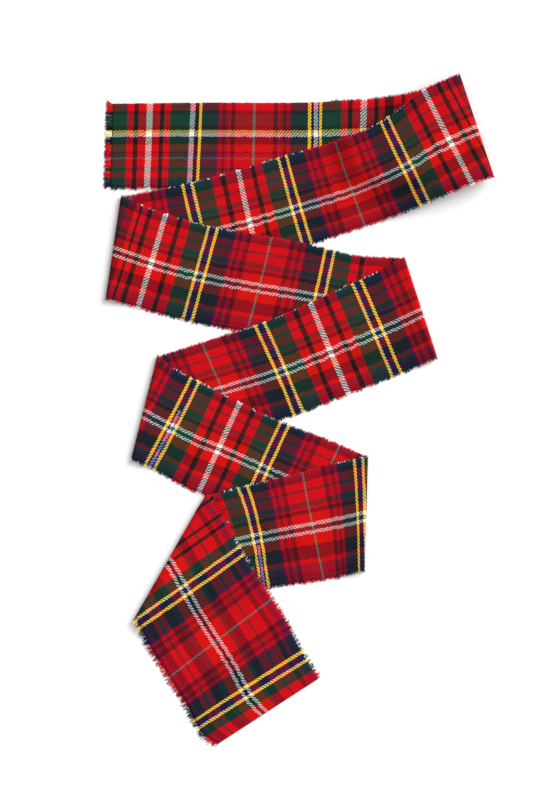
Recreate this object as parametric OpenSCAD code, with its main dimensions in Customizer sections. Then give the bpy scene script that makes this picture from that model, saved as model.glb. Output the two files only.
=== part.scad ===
// A long narrow strip of tartan wool cloth, laid on a level surface in a zigzag
// of seven lays and six folds. Each lay starts on top of the one before it and
// then slopes down to the surface.
// Units are millimetres and +Z is up. The strip stands on z = 0, with the
// origin under the middle of the whole zigzag. +Y runs from the last lay
// towards the first.

/* [Cloth] */
// Thickness of the wool cloth
cloth = 1; // [0.6:0.1:2]
// Air left between one lay and the next
air = 0.4; // [0.2:0.1:1]
// Length of the loose yarn ends along the torn edges
fringe = 2.5; // [1:0.5:6]
// Thickness of the band of loose yarn ends
fringe_height = 0.5; // [0.2:0.1:1]

/* [Folds] */
// Height of the first fold, which stands up most
first_fold_height = 10; // [4:1:16]
// Height of each later fold
fold_height = 5; // [3:0.5:10]
// How far the end of the first lay lifts off the surface
first_fold_lift = 4; // [0:0.5:6]
// Length over which the far side of the second lay drops from the first fold
first_run_far = 110; // [40:5:150]
// Length over which the near side of the second lay drops from the first fold
first_run_near = 60; // [30:5:120]
// Length over which a lay drops from its fold to the lay below
fold_run = 35; // [20:5:60]

/* [Corners] */
// Far corner of the free end of the first lay
start_far = [-178, 288];
// Near corner of the free end of the first lay
start_near = [-180, 210];
// Far side of the place where the first lay starts to rise
rise_far = [31, 289];
// Near side of the place where the first lay starts to rise
rise_near = [36, 210];
// Ends of the first fold line, far end first
fold_line_1 = [[147, 312], [178, 219]];
// Ends of the second fold line
fold_line_2 = [[-163, 200], [-177, 106]];
// Ends of the third fold line
fold_line_3 = [[99, 142], [129, 50]];
// Ends of the fourth fold line
fold_line_4 = [[-129, 50], [-153, -45]];
// Ends of the fifth fold line
fold_line_5 = [[64, -44], [61, -149]];
// Ends of the sixth fold line, which lies across the corner
fold_line_6 = [[-84, -81], [-150, -196]];
// Ends of the straight cut that closes the last lay
cut_line = [[20, -252], [-74, -313]];

/* [Crossings] */
// Where the second lay leaves the first
leave_1 = [-108, 209.5];
// Where the third lay leaves the second
leave_2 = [8, 156];
// Where the fourth lay leaves the third
leave_3 = [-51, 75];
// Where the fifth lay leaves the fourth
leave_4 = [-19, -10];
// Where the sixth lay leaves the fifth
leave_5 = [-80, -79];
// Where the seventh lay leaves the sixth
leave_6 = [-33, -166];

/* [Colours] */
// Scarlet wool
scarlet = [0.75, 0.06, 0.08];
// Dark green wool
green = [0.08, 0.22, 0.14];
// Navy wool
navy = [0.1, 0.11, 0.25];

/* [Hidden] */
step_up = cloth + air;
first_clearance = 0.8;
fringe_gap = 0.2;
fringe_lift = (cloth - fringe_height) / 2;
cut_over = 1;
last_mid_run = 70;
$fn = 64;

// A point at plan position p and height z.
function at(p, z) = [p[0], p[1], z];

// The point a distance d from a on the way to b.
function toward(a, b, d) = a + d * (b - a) / norm(b - a);

// The plan direction square to the line from a to b, on its left.
function left_of(a, b) = [a[1] - b[1], b[0] - a[0]] / norm(b - a);

// The corners of one lay along its far edge and its near edge. It starts at a
// fold of height h, meets the lay below after a run, leaves it, and ends at the
// next fold.
function far_edge(from, leave, to, run, h, low, end) = [
    at(from[0], h),
    at(toward(from[0], leave, run), low),
    at(leave, step_up),
    at(to[0], end)
];
function near_edge(from, leave, to, run, h, low, end) = [
    at(from[1], h),
    at(toward(from[1], leave, run), low),
    at(leave, 0),
    at(to[1], end)
];

top_1 = first_fold_lift + first_fold_height - cloth;
low_1 = step_up + first_clearance;
top_fold = fold_height - cloth;
last_mid = toward(fold_line_6[1], cut_line[1], last_mid_run);

far_1 = [at(start_far, 0), at(rise_far, 0), at(fold_line_1[0], first_fold_lift)];
near_1 = [at(start_near, 0), at(rise_near, 0), at(fold_line_1[1], first_fold_lift)];
far_2 = far_edge(fold_line_1, leave_1, fold_line_2, first_run_far, top_1, low_1, 0);
near_2 = near_edge(fold_line_1, leave_2, fold_line_2, first_run_near, top_1, low_1, 0);
far_3 = far_edge(fold_line_2, leave_2, fold_line_3, fold_run, top_fold, step_up, 0);
near_3 = near_edge(fold_line_2, leave_3, fold_line_3, fold_run, top_fold, step_up, 0);
far_4 = far_edge(fold_line_3, leave_3, fold_line_4, fold_run, top_fold, step_up, 0);
near_4 = near_edge(fold_line_3, leave_4, fold_line_4, fold_run, top_fold, step_up, 0);
far_5 = far_edge(fold_line_4, leave_4, fold_line_5, fold_run, top_fold, step_up, 0);
near_5 = near_edge(fold_line_4, leave_5, fold_line_5, fold_run, top_fold, step_up, 0);
far_6 = far_edge(fold_line_5, leave_5, fold_line_6, fold_run, top_fold, step_up, step_up);
near_6 = near_edge(fold_line_5, leave_6, fold_line_6, fold_run, top_fold, step_up, step_up);
far_7 = far_edge(fold_line_6, leave_6, cut_line, fold_run, step_up + top_fold, 2 * step_up, 0);
near_7 = near_edge(fold_line_6, last_mid, cut_line, fold_run, step_up + top_fold, 2 * step_up, 0);

// A sheet of thickness t whose underside runs through the corners of two
// edges. The far edge is on the left of a lay that runs towards +X, and on the
// right of one that runs back, which turns every face over.
module sheet(far, near, t, turned) {
    n = len(far);
    last = n - 1;
    steps = [0 : n - 2];
    under = concat(far, near);
    points = concat(under, [for (p = under) p + [0, 0, t]]);
    m = 2 * n;
    underside = [for (i = steps) each [[i, n + i, i + 1], [n + i, n + i + 1, i + 1]]];
    upside = [
        for (i = steps) each [
            [m + i + 1, m + n + i, m + i],
            [m + i + 1, m + n + i + 1, m + n + i]
        ]
    ];
    far_side = [for (i = steps) [i, i + 1, m + i + 1, m + i]];
    near_side = [for (i = steps) [n + i + 1, n + i, m + n + i, m + n + i + 1]];
    ends = [[n, 0, m, m + n], [last, n + last, m + n + last, m + last]];
    faces = concat(underside, upside, far_side, near_side, ends);
    turned_faces = [for (f = faces) [for (k = [len(f) - 1 : -1 : 0]) f[k]]];
    polyhedron(points = points, faces = turned ? turned_faces : faces);
}

// Half a tube of height h over a fold line whose lower lay is at height z.
// Side is 1 when the fold closes the strip on +X and -1 when on -X.
module bend(line, z, h, side) {
    run = line[0] - line[1];
    length = norm(run);
    translate([line[1][0], line[1][1], z + h / 2])
    rotate([0, 0, -atan2(run[0], run[1])])
    difference() {
        rotate([-90, 0, 0])
        cylinder(h = length, d = h);
        translate([0, -cut_over, 0])
        rotate([-90, 0, 0])
        cylinder(h = length + 2 * cut_over, d = h - 2 * cloth);
        translate([side > 0 ? -h : 0, -cut_over, -h])
        cube([h, length + 2 * cut_over, 2 * h]);
    }
}

// The band of loose yarn ends outside an edge. Out is its plan direction.
module fray(edge, out, turned) {
    inner = [for (p = edge) p + at(fringe_gap * out, fringe_lift)];
    outer = [for (p = edge) p + at((fringe_gap + fringe) * out, fringe_lift)];
    sheet(outer, inner, fringe_height, turned);
}

// The loose ends on the far and near edges of a lay that runs towards +X.
module fray_far(edge) {
    fray(edge, left_of(edge[0], edge[len(edge) - 1]), false);
}
module fray_near(edge) {
    fray(edge, -left_of(edge[0], edge[len(edge) - 1]), true);
}

// The same for a lay that runs back towards -X.
module fray_far_back(edge) {
    fray(edge, -left_of(edge[0], edge[len(edge) - 1]), true);
}
module fray_near_back(edge) {
    fray(edge, left_of(edge[0], edge[len(edge) - 1]), false);
}

module lay_1() {
    color(scarlet)
    linear_extrude(cloth)
    polygon([start_near, rise_near, rise_far, start_far]);
}
module lay_1_rise() {
    color(green)
    sheet([far_1[1], far_1[2]], [near_1[1], near_1[2]], cloth, false);
}
module lay_2() {
    color(scarlet)
    sheet(far_2, near_2, cloth, true);
}
module lay_3() {
    color(green)
    sheet(far_3, near_3, cloth, false);
}
module lay_4() {
    color(scarlet)
    sheet(far_4, near_4, cloth, true);
}
module lay_5() {
    color(green)
    sheet(far_5, near_5, cloth, false);
}
module lay_6() {
    color(scarlet)
    sheet(far_6, near_6, cloth, true);
}
module lay_7() {
    color(green)
    sheet(far_7, near_7, cloth, false);
}

module fold_1() {
    color(navy)
    bend(fold_line_1, first_fold_lift, first_fold_height, 1);
}
module fold_2() {
    color(navy)
    bend(fold_line_2, 0, fold_height, -1);
}
module fold_3() {
    color(navy)
    bend(fold_line_3, 0, fold_height, 1);
}
module fold_4() {
    color(navy)
    bend(fold_line_4, 0, fold_height, -1);
}
module fold_5() {
    color(navy)
    bend(fold_line_5, 0, fold_height, 1);
}
module fold_6() {
    color(navy)
    bend(fold_line_6, step_up, fold_height, -1);
}

module fray_1_end() {
    color(navy)
    fray([at(start_near, 0), at(start_far, 0)], [-1, 0], false);
}
module fray_1_far() {
    color(navy)
    fray_far(far_1);
}
module fray_1_near() {
    color(navy)
    fray_near(near_1);
}
module fray_2_far() {
    color(navy)
    fray_far_back(far_2);
}
module fray_2_near() {
    color(navy)
    fray_near_back(near_2);
}
module fray_3_far() {
    color(navy)
    fray_far(far_3);
}
module fray_3_near() {
    color(navy)
    fray_near(near_3);
}
module fray_4_far() {
    color(navy)
    fray_far_back(far_4);
}
module fray_4_near() {
    color(navy)
    fray_near_back(near_4);
}
module fray_5_far() {
    color(navy)
    fray_far(far_5);
}
module fray_5_near() {
    color(navy)
    fray_near(near_5);
}
module fray_6_far() {
    color(navy)
    fray_far_back(far_6);
}
module fray_6_near() {
    color(navy)
    fray_near_back(near_6);
}
module fray_7_far() {
    color(navy)
    fray_far(far_7);
}
module fray_7_near() {
    color(navy)
    fray_near(near_7);
}

lay_1();
lay_1_rise();
lay_2();
lay_3();
lay_4();
lay_5();
lay_6();
lay_7();
fold_1();
fold_2();
fold_3();
fold_4();
fold_5();
fold_6();
fray_1_end();
fray_1_far();
fray_1_near();
fray_2_far();
fray_2_near();
fray_3_far();
fray_3_near();
fray_4_far();
fray_4_near();
fray_5_far();
fray_5_near();
fray_6_far();
fray_6_near();
fray_7_far();
fray_7_near();
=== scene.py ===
import math

import bpy
import numpy as np
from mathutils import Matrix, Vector


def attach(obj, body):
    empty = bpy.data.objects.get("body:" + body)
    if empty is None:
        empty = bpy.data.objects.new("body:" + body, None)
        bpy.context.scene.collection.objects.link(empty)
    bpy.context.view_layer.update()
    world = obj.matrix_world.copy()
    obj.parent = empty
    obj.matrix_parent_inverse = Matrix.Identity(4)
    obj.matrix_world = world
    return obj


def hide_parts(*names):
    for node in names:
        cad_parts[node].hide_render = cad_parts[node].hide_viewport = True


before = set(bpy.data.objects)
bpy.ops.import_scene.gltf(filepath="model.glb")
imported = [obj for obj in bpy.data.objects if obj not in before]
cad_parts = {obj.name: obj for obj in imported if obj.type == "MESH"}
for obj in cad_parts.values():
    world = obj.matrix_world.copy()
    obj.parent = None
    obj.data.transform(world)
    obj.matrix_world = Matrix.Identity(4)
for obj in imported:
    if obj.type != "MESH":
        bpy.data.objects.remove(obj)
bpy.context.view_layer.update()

MM = 0.001
SEED = 11

# ---------------------------------------------------------------- the strip
# Every length here is in millimetres. The strip lies in seven lays. Each lay
# has a far edge and a near edge, given by a few points in the order in which
# the strip runs. A lay starts and ends on the fold lines of part.scad.

CLOTH = 1.1
REST = 0.55          # middle of the cloth above what it lies on
STEP_UP = 1.5        # middle of one lay above the middle of the lay below
STEP_REACH = 14.0    # how far a lay takes to drop off the edge of another
CELL = 2.3           # spacing of the cloth's rows and columns
ACROSS = 40          # columns across the strip
LOOP_STEPS = 8       # rows round each fold
LIFT_REACH = 120.0   # how far the lift at the first fold runs out
CALM_REACH = 30.0    # the waves fade in over this, going away from a fold
WAVE_HEIGHT = 0.19   # half the height of the cloth's low waves

# The second lay drops from the first fold late and steeply along its far edge,
# and early and gently along its near edge.
FALL_SIDE = 0.38     # share of the width that falls as the far edge does
HOLD_FAR = 110.0     # how far it stays up
HOLD_NEAR = 18.0
DROP_FAR = 25.0      # how far it then takes to drop
DROP_NEAR = 100.0

# About the longest loose yarn end on each long edge. At the free end the yarn
# ends have a least length, and up to about END_FRAY is added to it.
FAR_FRAY = 2.0
NEAR_FRAY = 2.9
END_FRAY = 3.6
END_FRAY_LEAST = 3.0
LAST_LAY_FRAY = 2.0  # times as long on the last lay
FIRM_LENGTH = 205.0  # the part of the first lay's far edge that keeps firm
FIRM_FRAY = 0.25     # times as long on the firm edge

# How uneven the torn edges are, and how far from a corner that begins.
TORN_FAR = 0.45
TORN_FAR_FIRST = 0.12
TORN_NEAR = 0.75
TORN_FADE = 12.0

FOLDS = [
    {"far": (147, 312), "near": (178, 219), "side": 1, "lift": 4.0, "loop": 11.0},
    {"far": (-163, 200), "near": (-177, 106), "side": -1, "lift": 0.0, "loop": 4.2, "reach": 34.0},
    {"far": (99, 142), "near": (129, 50), "side": 1, "lift": 0.0, "loop": 4.0, "reach": 38.0},
    {"far": (-129, 50), "near": (-153, -45), "side": -1, "lift": 0.0, "loop": 4.2, "reach": 36.0},
    {"far": (64, -44), "near": (61, -149), "side": 1, "lift": 0.0, "loop": 4.2, "reach": 40.0},
    {"far": (-84, -81), "near": (-150, -196), "side": -1, "lift": 0.0, "loop": 4.6, "reach": 42.0},
]

LAYS = [
    {   # the free end at the far left, mostly straight
        "far": [(-173, 288), (-91, 289), (0, 289), (30, 290), (78, 293), (116, 300), (147, 312)],
        "near": [(-175.5, 210), (-110, 210), (-30, 209), (36, 209), (100, 211), (178, 219)],
        "cloth": "first",
    },
    {
        "far": [(147, 312), (117, 298), (83, 272), (47, 255),
                (-16, 237), (-54, 225), (-109, 211), (-163, 200)],
        "near": [(178, 219), (140, 204), (110, 191), (7, 156), (-80, 130), (-177, 106)],
        "cloth": "main",
    },
    {
        "far": [(-163, 200), (-136, 188), (-86, 173), (8, 156), (54, 145), (99, 142)],
        "near": [(-177, 106), (-108, 87), (-54, 76), (30, 62), (129, 50)],
        "cloth": "main",
    },
    {
        "far": [(99, 142), (75, 129), (49, 117), (12, 100), (-33, 81), (-73, 68), (-129, 50)],
        "near": [(129, 50), (97, 36), (43, 15), (0, -2), (-70, -22), (-153, -45)],
        "cloth": "main",
    },
    {
        "far": [(-129, 50), (-116, 39), (-94, 27), (-57, 8), (-21, -9), (35, -31), (64, -44)],
        "near": [(-153, -45), (-132, -55), (-96, -75), (-80, -80), (-20, -108), (61, -149)],
        "cloth": "main",
    },
    {
        "far": [(64, -44), (35, -51), (2, -60), (-45, -71), (-84, -81)],
        "near": [(61, -149), (35, -156), (2, -161), (-27, -165), (-90, -177), (-150, -196)],
        "cloth": "main",
    },
    {
        "far": [(-84, -81), (-70, -102), (-48, -141), (-12, -197), (3, -225), (20, -252)],
        "near": [(-150, -196), (-134, -227), (-105, -273), (-87, -304), (-74, -313)],
        "cloth": "last",
    },
]

# Where the lines of the tartan cross the far and near edges of each lay, in
# the order in which the strip runs. A "white" line is the middle of one
# repeat and a "grey" line the middle between two; a "pair" is a pair of
# yellow lines, before or after the white or the grey line.
LINES = [
    [("start", (-173, 288), (-175.5, 210)), ("white", (-138, 288), (-141, 210)),
     ("pair", (-95, 288), (-99, 210)), ("grey", (-40, 289), (-42, 210)),
     ("pair 2", (17, 289), (16, 210)), ("white 2", (63, 291), (61, 210))],
    [("white", (119, 298), (163, 213)), ("pair", (82, 271), (120, 194)), ("grey", (36, 252), (63, 176)),
     ("pair 2", (-14, 238), (9, 157)), ("white 2", (-55, 225), (-36, 143)),
     ("pair 3", (-103, 212), (-84, 130))],
    [("white", (-123, 185), (-149, 99)), ("pair", (-79, 172), (-103, 86)), ("grey", (-24, 162), (-47, 75)),
     ("pair 2", (31, 150), (12, 65))],
    [("pair 0", (56, 120), (93, 35)), ("white", (13, 100), (48, 17)), ("pair", (-35, 81), (1, -1)),
     ("grey", (-89, 63), (-54, -17))],
    [("pair 0", (-96, 28), (-138, -52)), ("white", (-54, 7), (-92, -76)), ("pair", (-12, -13), (-50, -95)),
     ("grey", (40, -33), (0, -118))],
    [("pair", (58, -46), (73, -149)), ("grey", (5, -59), (25, -158)), ("pair 2", (-51, -73), (-31, -165))],
    [("pair", (-53, -132), (-149, -199)), ("grey", (-25, -178), (-119, -250)),
     ("pair 2", (7, -231), (-91, -293))],
]
# How far the stripes that run along the strip lie off their usual place, at
# the start, the middle and the end of each lay.
SWAY = [(0, 0, 0), (0, -3.5, 1.0), (1.0, 1.6, 1.0), (0, 0.5, 0),
        (-1.0, 2.8, 2.0), (2.2, 2.4, 2.0), (0, 0, 0)]

# ---------------------------------------------------------------- the tartan
# Yarn colours, as seen in cloth woven of one colour only.
YARN = {
    "red": (0.600, 0.0030, 0.0085),
    "crimson": (0.380, 0.0030, 0.0140),
    "wine": (0.165, 0.0030, 0.0110),
    "scarlet": (0.640, 0.0090, 0.0006),
    "green": (0.0075, 0.0450, 0.0260),
    "teal": (0.0110, 0.0270, 0.0300),
    "ink": (0.0095, 0.0170, 0.0290),
    "black": (0.0085, 0.0080, 0.0085),
    "brown": (0.0230, 0.0080, 0.0070),
    "navy": (0.0110, 0.0110, 0.0560),
    "purple": (0.0700, 0.0040, 0.0600),
    "yellow": (0.980, 0.6200, 0.0400),
    "white": (0.880, 0.8600, 0.8000),
    "grey": (0.140, 0.2000, 0.1650),
    "lavender": (0.640, 0.7000, 0.9200),
    "iris": (0.420, 0.4600, 0.9000),
}

# Stripes that run across the strip: half a repeat, from the middle of the
# white line to the middle of the thin grey line. Widths in millimetres.
BEFORE_PAIR = [("white", 2.2), ("red", 10.0), ("brown", 4.2), ("red", 8.0), ("green", 16.0)]
PAIR = [("yellow", 2.1), ("white", 0.6), ("navy", 5.7), ("yellow", 2.8)]
STRAND_PAIR = [
    ("yellow", 2.1), ("white", 0.6), ("navy", 1.3), ("iris", 3.0), ("navy", 1.4), ("yellow", 2.8),
]
AFTER_PAIR = [
    ("ink", 15.6), ("purple", 1.4), ("crimson", 3.4), ("wine", 3.2), ("crimson", 3.8),
    ("wine", 4.4), ("red", 17.7), ("grey", 0.9),
]
CHECKED = [("red", 6.4), ("brown", 3.0), ("red", 6.0), ("brown", 3.0), ("red", 12.5), ("green", 9.5)]
ACROSS_MAIN = BEFORE_PAIR + PAIR + AFTER_PAIR
ACROSS_STRAND = BEFORE_PAIR + STRAND_PAIR + AFTER_PAIR
ACROSS_PLAIN = [("red", 12.2), ("brown", 4.2), ("red", 5.6), ("brown", 2.6),
                ("red", 4.4), ("wine", 7.0), ("ink", 4.4)]
ACROSS_PLAIN += [("ink", 11.2)] + AFTER_PAIR
ACROSS_LAST = CHECKED + PAIR + AFTER_PAIR
FIRST_END = [
    ("white", 2.4), ("red", 6.8), ("black", 3.8), ("red", 6.0), ("brown", 8.0), ("red", 7.0),
    ("brown", 3.2), ("red", 8.0), ("wine", 3.2), ("red", 49.3),
]
ACROSS_FIRST = [
    ("white", 2.4), ("red", 6.8), ("black", 3.8), ("red", 6.0), ("green", 16.4),
    ("yellow", 2.3), ("black", 0.9), ("lavender", 4.0), ("black", 2.4), ("yellow", 2.8),
    ("teal", 15.2), ("purple", 0.9), ("crimson", 4.0), ("wine", 2.4), ("crimson", 3.2),
    ("red", 2.2), ("wine", 3.8), ("red", 17.0), ("grey", 1.2),
]
FIRST_START = [
    ("white", 2.4), ("red", 6.8), ("black", 3.8), ("red", 6.0), ("green", 17.9),
    ("lavender", 4.6), ("black", 3.6), ("yellow", 2.7),
] + ACROSS_FIRST[10:]

# Stripes that run along the strip, from its far edge to its near edge.
ALONG_FIRST = [
    ("red", 6.6), ("black", 2.8), ("green", 10.3), ("black", 3.8), ("yellow", 2.3),
    ("white", 3.3), ("black", 6.8), ("scarlet", 6.1), ("purple", 2.0), ("crimson", 3.4),
    ("grey", 1.4), ("red", 7.2), ("green", 3.8), ("red", 5.6), ("teal", 3.6), ("navy", 4.6),
]
ALONG_MAIN = [
    ("navy", 4.0), ("black", 3.8), ("red", 7.2), ("green", 1.8),
    ("red", 8.6), ("green", 4.6), ("crimson", 2.0), ("black", 3.2), ("scarlet", 7.6),
    ("white", 2.9), ("green", 3.2), ("white", 2.9), ("scarlet", 8.2), ("black", 10.6),
    ("red", 3.8), ("green", 2.8), ("purple", 3.2), ("black", 2.4), ("navy", 2.8),
]
ALONG_LAST = [
    ("navy", 4.0), ("purple", 3.4), ("crimson", 3.6), ("black", 4.6), ("red", 10.4),
    ("green", 2.3), ("red", 8.6), ("black", 7.2), ("green", 3.6), ("scarlet", 8.6),
    ("white", 3.0), ("black", 3.2), ("white", 3.0), ("scarlet", 8.8), ("teal", 5.6),
    ("black", 8.4), ("red", 5.6), ("green", 2.4), ("red", 4.8), ("black", 5.6), ("purple", 6.0),
]
TARTAN = {
    "first": (ACROSS_FIRST, ALONG_FIRST),
    "first start": (FIRST_START, ALONG_FIRST),
    "first end": (FIRST_END, ALONG_FIRST),
    "main": (ACROSS_MAIN, ALONG_MAIN),
    "plain": (ACROSS_PLAIN, ALONG_MAIN),
    "strand": (ACROSS_STRAND, ALONG_MAIN),
    "last": (ACROSS_LAST, ALONG_LAST),
}
TONE = 3.0           # how strongly two crossing colours darken each other
THREAD = 0.73 * MM   # width of one yarn


def total(stripes):
    return sum(width for _, width in stripes)


# ---------------------------------------------------------------- geometry
def smooth_curve(points, count):
    """A smooth curve through the points, as count points evenly spaced."""
    p = np.array(points, float)
    p = np.vstack([2 * p[0] - p[1], p, 2 * p[-1] - p[-2]])
    dense = []
    for i in range(1, len(p) - 2):
        knots = np.cumsum(
            [0.0] + [max(np.linalg.norm(p[i + k] - p[i + k - 1]), 1e-6) ** 0.5 for k in range(0, 3)]
        )
        t0, t1, t2, t3 = knots
        t = np.linspace(t1, t2, 40, endpoint=False)[:, None]
        a1 = (t1 - t) / (t1 - t0) * p[i - 1] + (t - t0) / (t1 - t0) * p[i]
        a2 = (t2 - t) / (t2 - t1) * p[i] + (t - t1) / (t2 - t1) * p[i + 1]
        a3 = (t3 - t) / (t3 - t2) * p[i + 1] + (t - t2) / (t3 - t2) * p[i + 2]
        b1 = (t2 - t) / (t2 - t0) * a1 + (t - t0) / (t2 - t0) * a2
        b2 = (t3 - t) / (t3 - t1) * a2 + (t - t1) / (t3 - t1) * a3
        dense.append((t2 - t) / (t2 - t1) * b1 + (t - t1) / (t2 - t1) * b2)
    dense = np.vstack(dense + [p[-2][None]])
    run = np.concatenate([[0.0], np.cumsum(np.linalg.norm(np.diff(dense, axis=0), axis=1))])
    where = np.linspace(0.0, run[-1], count)
    return np.stack([np.interp(where, run, dense[:, k]) for k in range(2)], -1)


def length_of(points):
    return float(np.linalg.norm(np.diff(points, axis=0), axis=1).sum())


def ease(x):
    """0 below 0, 1 above 1, and smooth between."""
    x = np.clip(x, 0.0, 1.0)
    return x * x * (3 - 2 * x)


def distance_to_line(xy, a, b):
    a, b = np.array(a, float), np.array(b, float)
    d = (b - a) / np.linalg.norm(b - a)
    r = xy - a
    return np.abs(r[..., 0] * d[1] - r[..., 1] * d[0])


def distance_outside(xy, outline):
    """How far each point lies outside a closed outline, 0 inside it."""
    x, y = xy[..., 0], xy[..., 1]
    inside = np.zeros(x.shape, bool)
    nearest = np.full(x.shape, 1e9)
    for (ax, ay), (bx, by) in zip(outline, np.roll(outline, -1, axis=0)):
        crosses = (ay > y) != (by > y)
        with np.errstate(divide="ignore", invalid="ignore"):
            at = (bx - ax) * (y - ay) / (by - ay) + ax
        inside ^= crosses & (x < at)
        dx, dy = bx - ax, by - ay
        t = np.clip(((x - ax) * dx + (y - ay) * dy) / max(dx * dx + dy * dy, 1e-9), 0, 1)
        nearest = np.minimum(nearest, np.hypot(x - ax - t * dx, y - ay - t * dy))
    return np.where(inside, 0.0, nearest)


def soft_waves(xy, seed):
    """Low, broad waves of a cloth that has been handled, from -1 to 1."""
    rng = np.random.default_rng(seed)
    z = np.zeros(xy.shape[:-1])
    for _ in range(9):
        angle = rng.uniform(0, 2 * math.pi)
        size = rng.uniform(38, 120)
        phase = rng.uniform(0, 2 * math.pi)
        way = xy[..., 0] * math.cos(angle) + xy[..., 1] * math.sin(angle)
        z += np.sin(way * 2 * math.pi / size + phase)
    return np.clip(z / 5.0, -1.0, 1.0)


def place_of(line, kind):
    """Where a named line of the tartan lies in the repeat of that cloth."""
    pair = 41.6 if kind == "first" else 46.0
    grey = total(TARTAN[kind][0])
    return {
        "start": -31.9, "pair 0": -pair, "white": 0.0, "pair": pair, "grey": grey,
        "pair 2": 2 * grey - pair, "white 2": 2 * grey, "pair 3": 2 * grey + pair,
    }[line]


def place_along(edge, marks):
    """The place in the repeat at each point of an edge, from its marks."""
    run = np.concatenate([[0.0], np.cumsum(np.linalg.norm(np.diff(edge, axis=0), axis=1))])
    at = np.array([run[np.argmin(np.linalg.norm(edge - np.array(xy, float), axis=1))] for _, xy in marks])
    place = np.array([value for value, _ in marks])
    rate = (place[-1] - place[0]) / (at[-1] - at[0])
    at = np.concatenate([[at[0] - 400.0], at, [at[-1] + 400.0]])
    place = np.concatenate([[place[0] - 400.0 * rate], place, [place[-1] + 400.0 * rate]])
    return run, np.interp(run, at, place)


def ragged(run, depth, seed):
    """The uneven line of a torn edge: shallow scallops a few threads wide."""
    rng = np.random.default_rng(seed)
    wave = np.zeros(run.shape)
    for _ in range(6):
        wave += np.sin(run * 2 * math.pi / rng.uniform(5.0, 17.0) + rng.uniform(0, 6.3))
    return depth * wave / 3.0


def spread_lays():
    """Each lay as a grid of points, with its place in the tartan at each."""
    grids = []
    for k, lay in enumerate(LAYS):
        longest = max(length_of(smooth_curve(lay[side], 400)) for side in ("far", "near"))
        rows = int(round(longest / CELL)) + 1
        edges, places = {}, {}
        for n, side in enumerate(("far", "near")):
            fine = smooth_curve(lay[side], 1200)
            marks = [(place_of(line[0], lay["cloth"]), line[1 + n]) for line in LINES[k]]
            run, place = place_along(fine, marks)
            edges[side] = smooth_curve(lay[side], rows)
            places[side] = np.interp(np.linspace(0, run[-1], rows), run, place)
        out = edges["far"] - edges["near"]
        out /= np.linalg.norm(out, axis=1)[:, None]
        steps = np.arange(rows) * CELL
        fade = ease(np.minimum(steps, steps[::-1]) / TORN_FADE)
        torn = TORN_FAR if k else TORN_FAR_FIRST
        edges["far"] = edges["far"] + out * (ragged(steps, torn, SEED + k) * fade)[:, None]
        edges["near"] = edges["near"] - out * (ragged(steps, TORN_NEAR, SEED + 50 + k) * fade)[:, None]
        s = np.linspace(0, 1, ACROSS + 1)[None, :, None]
        xy = edges["far"][:, None] * (1 - s) + edges["near"][:, None] * s
        outline = np.vstack([edges["far"], edges["near"][::-1]])
        u = places["far"][:, None] * (1 - s[..., 0]) + places["near"][:, None] * s[..., 0]
        start, mid, end = SWAY[k]
        t = np.linspace(0, 1, rows)[:, None]
        sway = start * (1 - t) * (1 - 2 * t) + mid * 4 * t * (1 - t) + end * t * (2 * t - 1)
        v = s[..., 0] * total(TARTAN[lay["cloth"]][1]) + sway * (s[..., 0] * (1 - s[..., 0]) * 4) ** 0.5
        grids.append({"xy": xy, "outline": outline, "u": u, "v": v, "cloth": lay["cloth"]})
    for k, g in enumerate(grids):
        xy = g["xy"]
        z = np.full(xy.shape[:-1], REST)
        side = np.linspace(0, 1, ACROSS + 1)[None, :]
        if k:
            fold = FOLDS[k - 1]
            away = distance_to_line(xy, fold["far"], fold["near"])
            under = distance_outside(xy, grids[k - 1]["outline"])
            z += STEP_UP * (1 - ease(under / STEP_REACH))
            z += fold["lift"] * (1 - ease(away / LIFT_REACH))
            if k == 1:
                # the far side stays up for longer and then drops steeply
                nearer = ease((side - FALL_SIDE) / (1 - FALL_SIDE))
                hold = HOLD_FAR * (1 - nearer) + HOLD_NEAR * nearer
                drop = DROP_FAR * (1 - nearer) + DROP_NEAR * nearer
                swell = 1 - ease((away - hold) / drop)
            else:
                swell = np.clip(1 - away / fold["reach"], 0, 1) ** 2.2
            z += (fold["loop"] - STEP_UP) * swell
        if k < len(FOLDS):
            fold = FOLDS[k]
            away = distance_to_line(xy, fold["far"], fold["near"])
            z += fold["lift"] * (1 - ease(away / LIFT_REACH))
            calm = ease(away / CALM_REACH)
        else:
            calm = 1.0
        if k:
            behind = distance_to_line(xy, FOLDS[k - 1]["far"], FOLDS[k - 1]["near"])
            calm = calm * ease(behind / CALM_REACH)
        z += (soft_waves(xy, SEED + k) + 1) * WAVE_HEIGHT * calm
        g["z"] = z
    return grids


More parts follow.
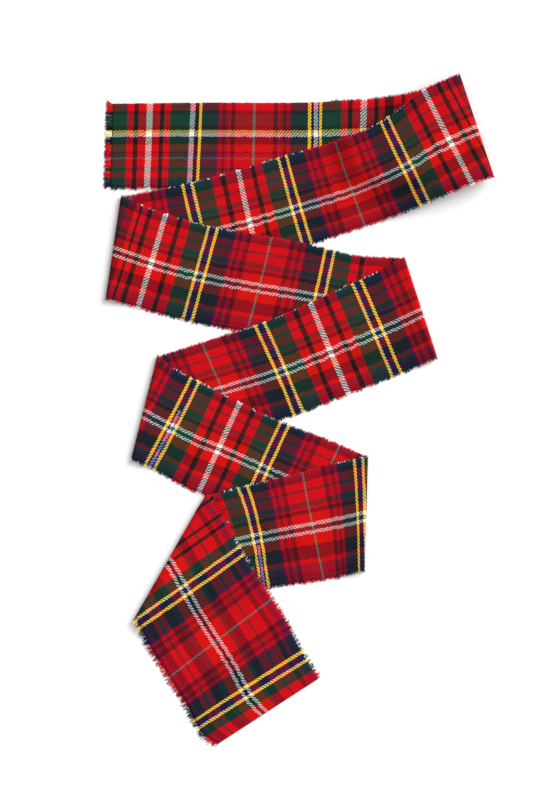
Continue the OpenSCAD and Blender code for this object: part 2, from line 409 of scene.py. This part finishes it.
def build_strip(grids):
    """Join the lays with a loop of cloth at every fold into one sheet."""
    strip = {"xyz": [], "before": [], "after": [], "v before": [], "v after": [], "lay": [], "loop": []}

    def add_row(xyz, before, after, v_before, v_after, lay, loop):
        for key, value in zip(strip, (xyz, before, after, v_before, v_after, lay, loop)):
            strip[key].append(value)

    for k, g in enumerate(grids):
        points = np.concatenate([g["xy"], g["z"][..., None]], -1)
        for i in range(0 if k == 0 else 1, len(points)):
            add_row(points[i], g["u"][i], g["u"][i], g["v"][i], g["v"][i], k, -1)
        if k == len(grids) - 1:
            break
        fold, above = FOLDS[k], grids[k + 1]
        low = points[-1]
        high = np.concatenate([above["xy"][0], above["z"][0][..., None]], -1)
        along = np.array(fold["far"], float) - np.array(fold["near"], float)
        out = np.array([along[1], -along[0]]) / np.linalg.norm(along)
        out = out * (1 if out[0] * fold["side"] > 0 else -1)
        radius = (high[:, 2] - low[:, 2]) / 2
        arc = math.pi * radius
        for j in range(1, LOOP_STEPS + 1):
            turn = math.pi * j / LOOP_STEPS
            row = low.copy()
            row[:, :2] += out * (radius * math.sin(turn))[:, None]
            row[:, 2] += radius * (1 - math.cos(turn))
            add_row(
                row, g["u"][-1] + arc * j / LOOP_STEPS, above["u"][0] - arc * (1 - j / LOOP_STEPS),
                g["v"][-1], above["v"][0], k if j <= LOOP_STEPS // 2 else k + 1, k,
            )
    return {key: np.array(value) for key, value in strip.items()}


def cloth_at(lay, u, v):
    """Which weave shows at a place: the lay's own, or one of its variants."""
    kind = LAYS[lay]["cloth"]
    repeat = 2 * total(ACROSS_MAIN)
    if lay == 0 and u > 2 * total(ACROSS_FIRST) - 2:
        return "first end"
    if lay == 0 and u < total(ACROSS_FIRST):
        return "first start"
    if lay == 1 and u < -18:
        return "plain"
    if lay == 2 and (u < -20 or u > repeat - 20):
        return "plain"
    if lay == 4 and abs(u + 46.0) < 9 and v > 0.36 * total(ALONG_MAIN):
        return "strand"
    if lay == 5 and abs(u - repeat + 46.0) < 9 and v > 0.62 * total(ALONG_MAIN):
        return "strand"
    return kind


def make_sheet(name, strip):
    rows = strip["xyz"]
    count, columns = rows.shape[:2]
    index = np.arange(count * columns).reshape(count, columns)
    quads = np.stack([index[:-1, :-1], index[:-1, 1:], index[1:, 1:], index[1:, :-1]], -1)
    mesh = bpy.data.meshes.new(name)
    mesh.from_pydata((rows.reshape(-1, 3) * MM).tolist(), [], quads.reshape(-1, 4).tolist())
    kinds = list(CLOTH_LOOKS)
    uv = np.zeros((count - 1, columns - 1, 4, 2))
    material_of = np.zeros((count - 1, columns - 1), int)
    for i in range(count - 1):
        lay = strip["lay"][i + 1]
        corners = []
        for r in (i, i + 1):
            own = strip["loop"][r] == lay or strip["loop"][r] < 0
            u_name, v_name = ("before", "v before") if own else ("after", "v after")
            corners.append((strip[u_name][r], strip[v_name][r]))
        (u0, v0), (u1, v1) = corners
        uv[i, :, 0] = np.stack([u0[:-1], v0[:-1]], -1)
        uv[i, :, 1] = np.stack([u0[1:], v0[1:]], -1)
        uv[i, :, 2] = np.stack([u1[1:], v1[1:]], -1)
        uv[i, :, 3] = np.stack([u1[:-1], v1[:-1]], -1)
        middle = uv[i].mean(1)
        material_of[i] = [kinds.index(cloth_at(lay, u, v)) for u, v in middle]
    mesh.uv_layers.new(name="weave").data.foreach_set("uv", (uv.reshape(-1) * MM).astype(np.float32))
    piece = bpy.data.objects.new(name, mesh)
    bpy.context.scene.collection.objects.link(piece)
    for kind in kinds:
        mesh.materials.append(CLOTH_LOOKS[kind])
    mesh.polygons.foreach_set("material_index", material_of.reshape(-1).astype(np.int32))
    mesh.polygons.foreach_set("use_smooth", np.ones(len(mesh.polygons), bool))
    mesh.update()
    return piece


# ---------------------------------------------------------------- materials
def add(tree, kind, at=(0, 0), **settings):
    node = tree.nodes.new(kind)
    node.location = at
    for key, value in settings.items():
        if key in node.inputs:
            node.inputs[key].default_value = value
        else:
            setattr(node, key, value)
    return node


def math_node(tree, operation, a, b=None, c=None):
    node = tree.nodes.new("ShaderNodeMath")
    node.operation = operation
    for socket, value in zip(node.inputs, (a, b, c)):
        if value is None:
            continue
        if isinstance(value, (int, float)):
            socket.default_value = value
        else:
            tree.links.new(value, socket)
    return node.outputs[0]


def toned(colour):
    return tuple(max(channel, 1e-5) ** (1 / TONE) for channel in colour)


def stripes(tree, coordinate, bands, length):
    """The yarn colour at a coordinate from 0 to length, along the bands."""
    ramp = tree.nodes.new("ShaderNodeValToRGB")
    ramp.color_ramp.interpolation = "CONSTANT"
    stops = ramp.color_ramp.elements
    while len(stops) > 1:
        stops.remove(stops[-1])
    start = 0.0
    for i, (yarn, width) in enumerate(bands):
        stop = stops[0] if i == 0 else stops.new(start / length)
        stop.position = start / length
        stop.color = (*toned(YARN[yarn]), 1)
        start += width
    scaled = math_node(tree, "DIVIDE", coordinate, length * MM)
    tree.links.new(scaled, ramp.inputs["Fac"])
    return ramp.outputs["Color"]


def woven_wool(name, bands_across, bands_along):
    """Tartan wool in a 2/2 twill, its stripes set out by the weave UV map."""
    look = bpy.data.materials.new(name)
    look.use_nodes = True
    tree = look.node_tree
    tree.nodes.clear()
    link = tree.links.new
    uv = add(tree, "ShaderNodeUVMap", uv_map="weave")
    drift = add(tree, "ShaderNodeTexNoise", Scale=110.0, Detail=2.0, Roughness=0.5)
    link(uv.outputs["UV"], drift.inputs["Vector"])
    centred = add(tree, "ShaderNodeVectorMath", operation="SUBTRACT")
    link(drift.outputs["Color"], centred.inputs[0])
    centred.inputs[1].default_value = (0.5, 0.5, 0.5)
    small = add(tree, "ShaderNodeVectorMath", operation="SCALE")
    link(centred.outputs[0], small.inputs[0])
    small.inputs["Scale"].default_value = 0.9 * MM
    moved = add(tree, "ShaderNodeVectorMath", operation="ADD")
    link(uv.outputs["UV"], moved.inputs[0])
    link(small.outputs[0], moved.inputs[1])
    parts = add(tree, "ShaderNodeSeparateXYZ")
    link(moved.outputs[0], parts.inputs[0])
    u, v = parts.outputs["X"], parts.outputs["Y"]

    half = total(bands_across)
    mirrored = math_node(tree, "PINGPONG", u, half * MM)
    weft = stripes(tree, mirrored, bands_across, half)
    warp = stripes(tree, v, bands_along, total(bands_along))

    # 2/2 twill: each yarn passes over two and under two, one step over each row
    pick = math_node(tree, "FLOOR", math_node(tree, "DIVIDE", u, THREAD))
    end = math_node(tree, "FLOOR", math_node(tree, "DIVIDE", v, THREAD))
    cycle = math_node(tree, "FLOORED_MODULO", math_node(tree, "ADD", pick, end), 4.0)
    warp_up = math_node(tree, "LESS_THAN", cycle, 1.5)
    # pale yarns stand out from their neighbours more than dark ones
    pale = []
    for yarn in (weft, warp):
        channels = add(tree, "ShaderNodeSeparateColor")
        link(yarn, channels.inputs[0])
        pale.append(math_node(tree, "MULTIPLY_ADD", channels.outputs["Green"], 2.2, -1.0))
        pale[-1].node.use_clamp = True
        if yarn is weft:
            whiter = math_node(tree, "MULTIPLY_ADD", channels.outputs["Blue"], 3.0, -1.8)
            whiter.node.use_clamp = True
    paler = math_node(tree, "MAXIMUM", pale[0], pale[1])
    swing = math_node(tree, "MULTIPLY_ADD", paler, 0.32, 0.34)
    # how much of the yarn that runs along shows: less beside a yellow yarn
    # that runs across, more beside a white one
    middle_share = math_node(tree, "MULTIPLY_ADD", pale[1], 0.09, 0.335)
    middle_share = math_node(tree, "MULTIPLY_ADD", pale[0], -0.12, middle_share)
    middle_share = math_node(tree, "MULTIPLY_ADD", whiter, 0.31, middle_share)
    slub = add(tree, "ShaderNodeTexNoise", Scale=620.0, Detail=2.0, Roughness=0.6)
    link(uv.outputs["UV"], slub.inputs["Vector"])
    uneven_float = math_node(
        tree, "MULTIPLY", math_node(tree, "SUBTRACT", slub.outputs["Fac"], 0.5),
        math_node(tree, "MULTIPLY_ADD", paler, 0.55, 0.25),
    )
    share = math_node(
        tree, "MULTIPLY_ADD", math_node(tree, "SUBTRACT", warp_up, 0.5), swing,
        math_node(tree, "ADD", middle_share, uneven_float),
    )
    share.node.use_clamp = True
    mix = add(tree, "ShaderNodeMix", data_type="RGBA")
    link(share, mix.inputs["Factor"])
    link(weft, mix.inputs["A"])
    link(warp, mix.inputs["B"])
    darken = add(tree, "ShaderNodeGamma", Gamma=TONE)
    link(mix.outputs["Result"], darken.inputs["Color"])

    fibre = add(tree, "ShaderNodeTexNoise", Scale=1500.0, Detail=3.0, Roughness=0.65)
    link(uv.outputs["UV"], fibre.inputs["Vector"])
    broad = add(tree, "ShaderNodeTexNoise", Scale=22.0, Detail=3.0, Roughness=0.55)
    link(uv.outputs["UV"], broad.inputs["Vector"])
    uneven = math_node(
        tree, "ADD",
        math_node(tree, "MULTIPLY_ADD", fibre.outputs["Fac"], 0.70, 0.50),
        math_node(tree, "MULTIPLY_ADD", broad.outputs["Fac"], 0.20, -0.10),
    )
    value = add(tree, "ShaderNodeHueSaturation", Saturation=1.0, Fac=1.0)
    link(darken.outputs["Color"], value.inputs["Color"])
    link(uneven, value.inputs["Value"])

    # height of the yarns: round across each yarn, high where it floats on top
    def bow(coordinate):
        across = math_node(tree, "FRACT", math_node(tree, "DIVIDE", coordinate, THREAD))
        return math_node(tree, "SINE", math_node(tree, "MULTIPLY", across, math.pi))

    rib = add(tree, "ShaderNodeMix", data_type="FLOAT")
    link(warp_up, rib.inputs["Factor"])
    link(bow(u), rib.inputs["A"])
    link(bow(v), rib.inputs["B"])
    height = math_node(
        tree, "ADD", rib.outputs["Result"],
        math_node(tree, "MULTIPLY", fibre.outputs["Fac"], 0.8),
    )
    bump = add(tree, "ShaderNodeBump", Strength=0.35, Distance=0.00018)
    link(height, bump.inputs["Height"])

    rough = math_node(tree, "MULTIPLY_ADD", fibre.outputs["Fac"], 0.20, 0.74)
    wool = add(tree, "ShaderNodeBsdfPrincipled")
    wool.inputs["Sheen Weight"].default_value = 0.02
    wool.inputs["Sheen Roughness"].default_value = 0.5
    wool.inputs["Specular IOR Level"].default_value = 0.05
    link(value.outputs["Color"], wool.inputs["Base Color"])
    link(rough, wool.inputs["Roughness"])
    link(bump.outputs["Normal"], wool.inputs["Normal"])
    out = add(tree, "ShaderNodeOutputMaterial")
    link(wool.outputs["BSDF"], out.inputs["Surface"])
    return look


def loose_wool(name):
    """Loose yarn ends, each with the colour stored on it."""
    look = bpy.data.materials.new(name)
    look.use_nodes = True
    tree = look.node_tree
    tree.nodes.clear()
    link = tree.links.new
    dye = add(tree, "ShaderNodeAttribute", attribute_name="dye")
    place = add(tree, "ShaderNodeTexCoord")
    fibre = add(tree, "ShaderNodeTexNoise", Scale=2600.0, Detail=3.0, Roughness=0.6)
    link(place.outputs["Object"], fibre.inputs["Vector"])
    value = add(tree, "ShaderNodeHueSaturation")
    link(dye.outputs["Color"], value.inputs["Color"])
    link(math_node(tree, "MULTIPLY_ADD", fibre.outputs["Fac"], 0.7, 0.65), value.inputs["Value"])
    bump = add(tree, "ShaderNodeBump", Strength=0.5, Distance=0.0002)
    link(fibre.outputs["Fac"], bump.inputs["Height"])
    wool = add(tree, "ShaderNodeBsdfPrincipled")
    wool.inputs["Sheen Weight"].default_value = 0.02
    wool.inputs["Sheen Roughness"].default_value = 0.5
    wool.inputs["Specular IOR Level"].default_value = 0.05
    link(value.outputs["Color"], wool.inputs["Base Color"])
    link(math_node(tree, "MULTIPLY_ADD", fibre.outputs["Fac"], 0.2, 0.75), wool.inputs["Roughness"])
    link(bump.outputs["Normal"], wool.inputs["Normal"])
    out = add(tree, "ShaderNodeOutputMaterial")
    link(wool.outputs["BSDF"], out.inputs["Surface"])
    return look


CLOTH_LOOKS = {
    kind: woven_wool(f"tartan wool {kind}", *TARTAN[kind]) for kind in TARTAN
}
LOOSE_LOOK = loose_wool("loose wool ends")


# ---------------------------------------------------------------- the fringe
def colour_across(cloth, u):
    """The colour of the yarn that runs across the strip at u."""
    bands = TARTAN[cloth][0]
    half = total(bands)
    place = abs(((u + half) % (2 * half)) - half)
    for yarn, width in bands:
        if place <= width:
            return YARN[yarn]
        place -= width
    return YARN[bands[-1][0]]


def colour_along(cloth, place):
    for yarn, width in TARTAN[cloth][1]:
        if place <= width:
            return YARN[yarn]
        place -= width
    return YARN[TARTAN[cloth][1][-1][0]]


def edge_points(strip, column, inner, pitch, rng):
    """Roots of the loose yarns along an edge, with their directions."""
    edge, inside = strip["xyz"][:, column], strip["xyz"][:, inner]
    tangent = np.gradient(edge, axis=0)
    tangent /= np.linalg.norm(tangent, axis=1)[:, None]
    out = edge - inside
    out -= (out * tangent).sum(1)[:, None] * tangent
    out /= np.linalg.norm(out, axis=1)[:, None]
    step = np.linalg.norm(np.diff(edge, axis=0), axis=1)
    run = np.concatenate([[0.0], np.cumsum(step)])
    roots = []
    for at in np.arange(pitch / 2, run[-1], pitch):
        at = min(at + rng.uniform(-0.35, 0.35) * pitch, run[-1] - 1e-6)
        i = int(np.searchsorted(run, at, side="right") - 1)
        t = (at - run[i]) / max(step[i], 1e-9)
        here = edge[i] * (1 - t) + edge[i + 1] * t
        lean = 0.45 * math.sin(at * 1.35 + 2.0 * math.sin(at * 0.31)) + 0.2 * math.sin(at * 0.53)
        way = out[i] * (1 - t) + out[i + 1] * t + tangent[i] * lean
        lay = strip["lay"][i]
        side = "before" if strip["loop"][i] == lay or strip["loop"][i] < 0 else "after"
        u = strip[side][i, column]
        if strip["lay"][i + 1] == lay and strip["loop"][i] < 0 and strip["loop"][i + 1] < 0:
            u = u * (1 - t) + strip[side][i + 1, column] * t
        roots.append((here, way / np.linalg.norm(way), u, lay, at))
    return roots


def plant(name, roots, colours, lengths, seed, thickness):
    """Grow a loose yarn end from every root, as one mesh."""
    mesh = bpy.data.meshes.new(name + " roots")
    mesh.from_pydata([tuple(r[0] * MM) for r in roots], [], [])
    way = mesh.attributes.new("way", "FLOAT_VECTOR", "POINT")
    way.data.foreach_set("vector", np.array([r[1] for r in roots], np.float32).reshape(-1))
    reach = mesh.attributes.new("reach", "FLOAT", "POINT")
    reach.data.foreach_set("value", np.array(lengths, np.float32) * MM)
    dye = mesh.attributes.new("dye", "FLOAT_COLOR", "POINT")
    dye.data.foreach_set(
        "color", np.array([(*c, 1.0) for c in colours], np.float32).reshape(-1)
    )
    holder = bpy.data.objects.new(name + " roots", mesh)
    bpy.context.scene.collection.objects.link(holder)
    modifier = holder.modifiers.new("fringe", "NODES")
    modifier.node_group = FRINGE
    for label, value in (("Yarn thickness", thickness * MM), ("Spread", 0.42), ("Seed", seed)):
        modifier[FRINGE_SOCKETS[label]] = value
    bpy.context.view_layer.update()
    grown = bpy.data.meshes.new_from_object(
        holder.evaluated_get(bpy.context.evaluated_depsgraph_get())
    )
    grown.name = name
    bpy.data.objects.remove(holder)
    piece = bpy.data.objects.new(name, grown)
    bpy.context.scene.collection.objects.link(piece)
    grown.polygons.foreach_set("use_smooth", np.ones(len(grown.polygons), bool))
    return piece


def fringe_tree():
    """Bent, tapering yarn ends set on points and turned along their way."""
    tree = bpy.data.node_groups.new("loose yarn ends", "GeometryNodeTree")
    face = tree.interface
    face.new_socket("Geometry", in_out="INPUT", socket_type="NodeSocketGeometry")
    sockets = {}
    for label, kind, value in (
        ("Yarn thickness", "NodeSocketFloat", 0.0008),
        ("Spread", "NodeSocketFloat", 0.4),
        ("Seed", "NodeSocketInt", 1),
    ):
        socket = face.new_socket(label, in_out="INPUT", socket_type=kind)
        socket.default_value = value
        sockets[label] = socket.identifier
    face.new_socket("Geometry", in_out="OUTPUT", socket_type="NodeSocketGeometry")
    link = tree.links.new
    given = tree.nodes.new("NodeGroupInput")
    out = tree.nodes.new("NodeGroupOutput")

    bend = tree.nodes.new("GeometryNodeCurveQuadraticBezier")
    bend.inputs["Resolution"].default_value = 3
    bend.inputs["Start"].default_value = (-0.25, 0.0, 0.0)
    bend.inputs["Middle"].default_value = (0.45, 0.0, 0.10)
    bend.inputs["End"].default_value = (1.0, 0.0, -0.10)
    ring = tree.nodes.new("GeometryNodeCurvePrimitiveCircle")
    ring.inputs["Resolution"].default_value = 5
    ring.inputs["Radius"].default_value = 0.5
    taper = tree.nodes.new("GeometryNodeSetCurveRadius")
    factor = tree.nodes.new("GeometryNodeSplineParameter")
    narrow = tree.nodes.new("ShaderNodeMath")
    narrow.operation = "MULTIPLY_ADD"
    narrow.inputs[1].default_value = -0.55
    narrow.inputs[2].default_value = 1.0
    link(factor.outputs["Factor"], narrow.inputs[0])
    link(bend.outputs[0], taper.inputs["Curve"])
    link(narrow.outputs[0], taper.inputs["Radius"])
    tube = tree.nodes.new("GeometryNodeCurveToMesh")
    tube.inputs["Fill Caps"].default_value = True
    link(taper.outputs[0], tube.inputs["Curve"])
    link(ring.outputs[0], tube.inputs["Profile Curve"])

    way = tree.nodes.new("GeometryNodeInputNamedAttribute")
    way.data_type = "FLOAT_VECTOR"
    way.inputs["Name"].default_value = "way"
    aim = tree.nodes.new("FunctionNodeAlignRotationToVector")
    aim.axis = "X"
    aim.pivot_axis = "Z"
    link(way.outputs[0], aim.inputs["Vector"])
    stray = tree.nodes.new("FunctionNodeRandomValue")
    stray.data_type = "FLOAT_VECTOR"
    low = tree.nodes.new("ShaderNodeCombineXYZ")
    high = tree.nodes.new("ShaderNodeCombineXYZ")
    minus = tree.nodes.new("ShaderNodeMath")
    minus.operation = "MULTIPLY"
    minus.inputs[1].default_value = -1.0
    tilt = tree.nodes.new("ShaderNodeMath")
    tilt.operation = "MULTIPLY"
    tilt.inputs[1].default_value = 0.25
    link(given.outputs["Spread"], minus.inputs[0])
    link(given.outputs["Spread"], tilt.inputs[0])
    link(minus.outputs[0], low.inputs["Z"])
    link(given.outputs["Spread"], high.inputs["Z"])
    link(tilt.outputs[0], high.inputs["Y"])
    link(low.outputs[0], stray.inputs["Min"])
    link(high.outputs[0], stray.inputs["Max"])
    link(given.outputs["Seed"], stray.inputs["Seed"])
    turn = tree.nodes.new("FunctionNodeEulerToRotation")
    link(stray.outputs[0], turn.inputs[0])
    both = tree.nodes.new("FunctionNodeRotateRotation")
    both.rotation_space = "LOCAL"
    link(aim.outputs[0], both.inputs["Rotation"])
    link(turn.outputs[0], both.inputs["Rotate By"])

    reach = tree.nodes.new("GeometryNodeInputNamedAttribute")
    reach.data_type = "FLOAT"
    reach.inputs["Name"].default_value = "reach"
    size = tree.nodes.new("ShaderNodeCombineXYZ")
    link(reach.outputs[0], size.inputs["X"])
    link(given.outputs["Yarn thickness"], size.inputs["Y"])
    link(given.outputs["Yarn thickness"], size.inputs["Z"])

    points = tree.nodes.new("GeometryNodeMeshToPoints")
    link(given.outputs["Geometry"], points.inputs["Mesh"])
    placed = tree.nodes.new("GeometryNodeInstanceOnPoints")
    link(points.outputs[0], placed.inputs["Points"])
    link(tube.outputs[0], placed.inputs["Instance"])
    link(both.outputs[0], placed.inputs["Rotation"])
    link(size.outputs[0], placed.inputs["Scale"])
    real = tree.nodes.new("GeometryNodeRealizeInstances")
    link(placed.outputs[0], real.inputs[0])
    dressed = tree.nodes.new("GeometryNodeSetMaterial")
    dressed.inputs["Material"].default_value = LOOSE_LOOK
    link(real.outputs[0], dressed.inputs["Geometry"])
    link(dressed.outputs[0], out.inputs[0])
    return tree, sockets


FRINGE, FRINGE_SOCKETS = fringe_tree()


def fringe_lengths(roots, rng, longest, clump=5.0):
    """Lengths that rise and fall in tufts along the edge."""
    lengths = []
    for root in roots:
        at = root[4]
        stray = 2.2 * math.sin(at * 0.37) + math.sin(at * 0.091)
        wave = 0.5 + 0.5 * math.sin(at * 2 * math.pi / clump + stray)
        lengths.append(longest * (0.35 + 0.40 * wave + 0.30 * rng.random()))
    return lengths


def make_fringes(strip):
    rng = np.random.default_rng(SEED)
    pieces = []
    sides = (("fringe_far", 0, 1, FAR_FRAY), ("fringe_near", ACROSS, ACROSS - 1, NEAR_FRAY))
    for name, column, inner, longest in sides:
        roots = edge_points(strip, column, inner, 0.5, rng)
        lengths = fringe_lengths(roots, rng, longest)
        if name == "fringe_far":
            # most of the first lay keeps a firm edge
            firm = LAYS[0]["far"][0][0] + FIRM_LENGTH
            lengths = [
                length * (FIRM_FRAY if root[3] == 0 and root[0][0] < firm else 1.0)
                for root, length in zip(roots, lengths)
            ]
        last = len(LAYS) - 1
        lengths = [
            length * (LAST_LAY_FRAY if root[3] == last else 1.0)
            for root, length in zip(roots, lengths)
        ]
        colours = []
        for root in roots:
            colour = colour_across(cloth_at(root[3], root[2], 1e3 if column else 0.0), root[2])
            if name == "fringe_far" and root[3] > 0 and colour[0] < 0.1 and rng.random() < 0.30:
                colour = YARN["white"] if rng.random() < 0.5 else YARN["grey"]
            elif colour[0] < 0.1 and rng.random() < 0.3:
                colour = YARN["navy"]
            colours.append(colour)
        pieces.append(plant(name, roots, colours, lengths, SEED + len(pieces), 0.5))
    edge, inside = strip["xyz"][0], strip["xyz"][1]
    places = strip["v before"][0]
    roots = []
    out = (edge - inside) / np.linalg.norm(edge - inside, axis=1)[:, None]
    for at in np.arange(0.1, ACROSS - 0.1, 0.11):
        i = int(at)
        t = at - i
        here = edge[i] * (1 - t) + edge[i + 1] * t
        v = places[i] * (1 - t) + places[i + 1] * t
        way = out[i] + np.array([0.0, 0.4 * math.sin(v * 1.5 + 2 * math.sin(v * 0.23)), 0.0])
        roots.append((here, way / np.linalg.norm(way), v, 0, v))
    lengths = [END_FRAY_LEAST + length for length in fringe_lengths(roots, rng, END_FRAY, 4.2)]
    colours = [colour_along("first", root[2]) for root in roots]
    pieces.append(plant("fringe_end", roots, colours, lengths, SEED + 7, 0.6))
    return pieces


# ---------------------------------------------------------------- pieces
lays = spread_lays()
layout = build_strip(lays)
strip = make_sheet("tartan_strip", layout)
body = strip.modifiers.new("cloth", "SOLIDIFY")
body.thickness = CLOTH * MM
body.offset = 0.0
body.use_even_offset = False
fringes = make_fringes(layout)

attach(strip, "root")
later_lays = [f"lay_{k}" for k in range(2, 8)]
all_folds = [f"fold_{k}" for k in range(1, 7)]
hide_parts("lay_1", "lay_1_rise", *later_lays, *all_folds)
for piece in fringes:
    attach(piece, "root")
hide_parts(*[f"fray_{k}_far" for k in range(1, 8)])
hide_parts(*[f"fray_{k}_near" for k in range(1, 8)])
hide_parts("fray_1_end")

# ---------------------------------------------------------------- the room
scene = bpy.context.scene
scene.view_settings.view_transform = "Standard"


def plain_floor():
    size = 12.0
    mesh = bpy.data.meshes.new("floor")
    mesh.from_pydata(
        [(-size, -size, 0), (size, -size, 0), (size, size, 0), (-size, size, 0)], [], [(0, 1, 2, 3)]
    )
    floor = bpy.data.objects.new("floor", mesh)
    scene.collection.objects.link(floor)
    look = bpy.data.materials.new("pale floor")
    look.use_nodes = True
    tree = look.node_tree
    grain = add(tree, "ShaderNodeTexNoise", Scale=300.0, Detail=2.0)
    place = add(tree, "ShaderNodeTexCoord")
    tree.links.new(place.outputs["Object"], grain.inputs["Vector"])
    shade = tree.nodes["Principled BSDF"]
    shade.inputs["Base Color"].default_value = (0.87, 0.87, 0.87, 1)
    shade.inputs["Specular IOR Level"].default_value = 0.1
    tree.links.new(
        math_node(tree, "MULTIPLY_ADD", grain.outputs["Fac"], 0.1, 0.8), shade.inputs["Roughness"]
    )
    mesh.materials.append(look)


def soft_sun(name, way_to_light, width, strength):
    """A broad, even light from one side; width is its angle in the sky."""
    lamp = bpy.data.lights.new(name, "SUN")
    lamp.angle = width
    lamp.energy = strength
    holder = bpy.data.objects.new(name, lamp)
    scene.collection.objects.link(holder)
    holder.rotation_euler = Vector(way_to_light).to_track_quat("Z", "Y").to_euler()


plain_floor()
world = bpy.data.worlds.new("studio")
scene.world = world
world.use_nodes = True
sky = world.node_tree.nodes["Background"]
sky.inputs["Color"].default_value = (1.0, 1.0, 1.0, 1)
sky.inputs["Strength"].default_value = 0.66
soft_sun("key light", (1.9, 1.5, 1.25), 0.85, 4.3)

lens = bpy.data.cameras.new("camera")
camera = bpy.data.objects.new("camera", lens)
scene.collection.objects.link(camera)
scene.camera = camera
VIEW_HEIGHT = 2.4
VIEW_TALL = 0.752    # how much of the floor is seen from top to bottom
VIEW_MIDDLE = (-0.0287, 0.0099)
lens.sensor_width = 36.0
lens.lens = lens.sensor_width * VIEW_HEIGHT / VIEW_TALL
lens.clip_end = 60.0
camera.location = (*VIEW_MIDDLE, VIEW_HEIGHT)
camera.rotation_euler = (0, 0, 0)
